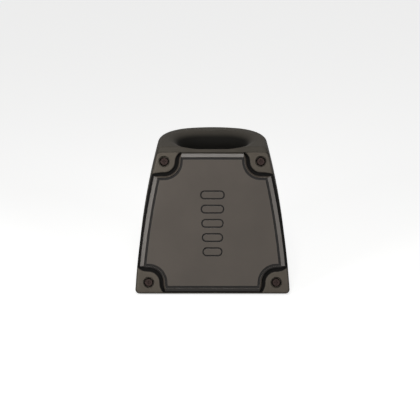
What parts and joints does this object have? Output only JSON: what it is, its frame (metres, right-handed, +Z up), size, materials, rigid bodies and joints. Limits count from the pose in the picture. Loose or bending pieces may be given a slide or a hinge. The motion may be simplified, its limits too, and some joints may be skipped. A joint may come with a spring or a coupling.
{
  "type": "hair clipper charging stand",
  "caption": "Tapered desktop charging stand with a screwed front cover, a bevelled plate and a deep cup with sprung contacts.",
  "frame": {"origin": "middle of the footprint, on the surface that the rubber feet rest on", "axes": "+X to the viewer's right across the front, +Y to the rear, +Z up; the sloping front cover faces -Y"},
  "size_m": [0.0956, 0.0788, 0.0872],
  "materials": {
    "housing": "fine textured dark moulding",
    "front_cover": "satin dark moulding",
    "front_plate": "satin dark grey coating",
    "cover_screws": "dark plated steel",
    "charging_well": "matt black moulding",
    "well_screws": "zinc plated steel",
    "contact_block": "matt black moulding",
    "block_screws": "zinc plated steel",
    "base_plate": "fine textured dark moulding",
    "base_screws": "black plated steel",
    "ballast_plate": "plain mild steel with a dull plating",
    "ballast_screws": "zinc plated steel",
    "circuit_board": "green solder mask",
    "board_screws": "zinc plated steel",
    "dc_jack": "matt black moulding",
    "jack_center_pin": "nickel plated brass",
    "filter_capacitor": "sleeved can with a bare top",
    "charge_controller_chip": "black moulded package",
    "board_resistors": "black ceramic chips with bright ends",
    "lead_connector": "ivory moulding",
    "lead_negative": "black insulation",
    "lead_positive": "red insulation",
    "charge_pin_left": "gold plated brass",
    "pin_spring_left": "spring steel wire",
    "contact_terminal_left": "plated brass",
    "charge_pin_right": "gold plated brass",
    "pin_spring_right": "spring steel wire",
    "contact_terminal_right": "plated brass",
    "foot_front_left": "moulded rubber",
    "foot_front_right": "moulded rubber",
    "foot_rear_left": "moulded rubber",
    "foot_rear_right": "moulded rubber"
  },
  "bodies": {
    "stand": {"housing": "housing", "front_cover": "front_cover", "front_plate": "front_plate", "cover_screws": "cover_screws", "charging_well": "charging_well", "well_screws": "well_screws", "contact_block": "contact_block", "block_screws": "block_screws", "base_plate": "base_plate", "base_screws": "base_screws", "ballast_plate": "ballast_plate", "ballast_screws": "ballast_screws", "circuit_board": "circuit_board", "board_screws": "board_screws", "dc_jack": "dc_jack", "jack_center_pin": "jack_center_pin", "filter_capacitor": "filter_capacitor", "charge_controller_chip": "charge_controller_chip", "board_resistors": "board_resistors", "lead_connector": "lead_connector", "lead_negative": "lead_negative", "lead_positive": "lead_positive", "pin_spring_left": "pin_spring_left", "contact_terminal_left": "contact_terminal_left", "pin_spring_right": "pin_spring_right", "contact_terminal_right": "contact_terminal_right", "foot_front_left": "foot_front_left", "foot_front_right": "foot_front_right", "foot_rear_left": "foot_rear_left", "foot_rear_right": "foot_rear_right"},
    "left_pin": {"charge_pin_left": "charge_pin_left"},
    "right_pin": {"charge_pin_right": "charge_pin_right"}
  },
  "joints": [
    {"name": "left_pin_slide", "type": "slide", "parent": "stand", "child": "left_pin", "axis": [0, 0, -1], "range_m": [0, 0.0012], "stiffness_N_per_m": 300, "springref_m": -0.0005, "deforming": ["pin_spring_left"]},
    {"name": "right_pin_slide", "type": "slide", "parent": "stand", "child": "right_pin", "axis": [0, 0, -1], "range_m": [0, 0.0012], "stiffness_N_per_m": 300, "springref_m": -0.0005, "deforming": ["pin_spring_right"]}
  ]
}
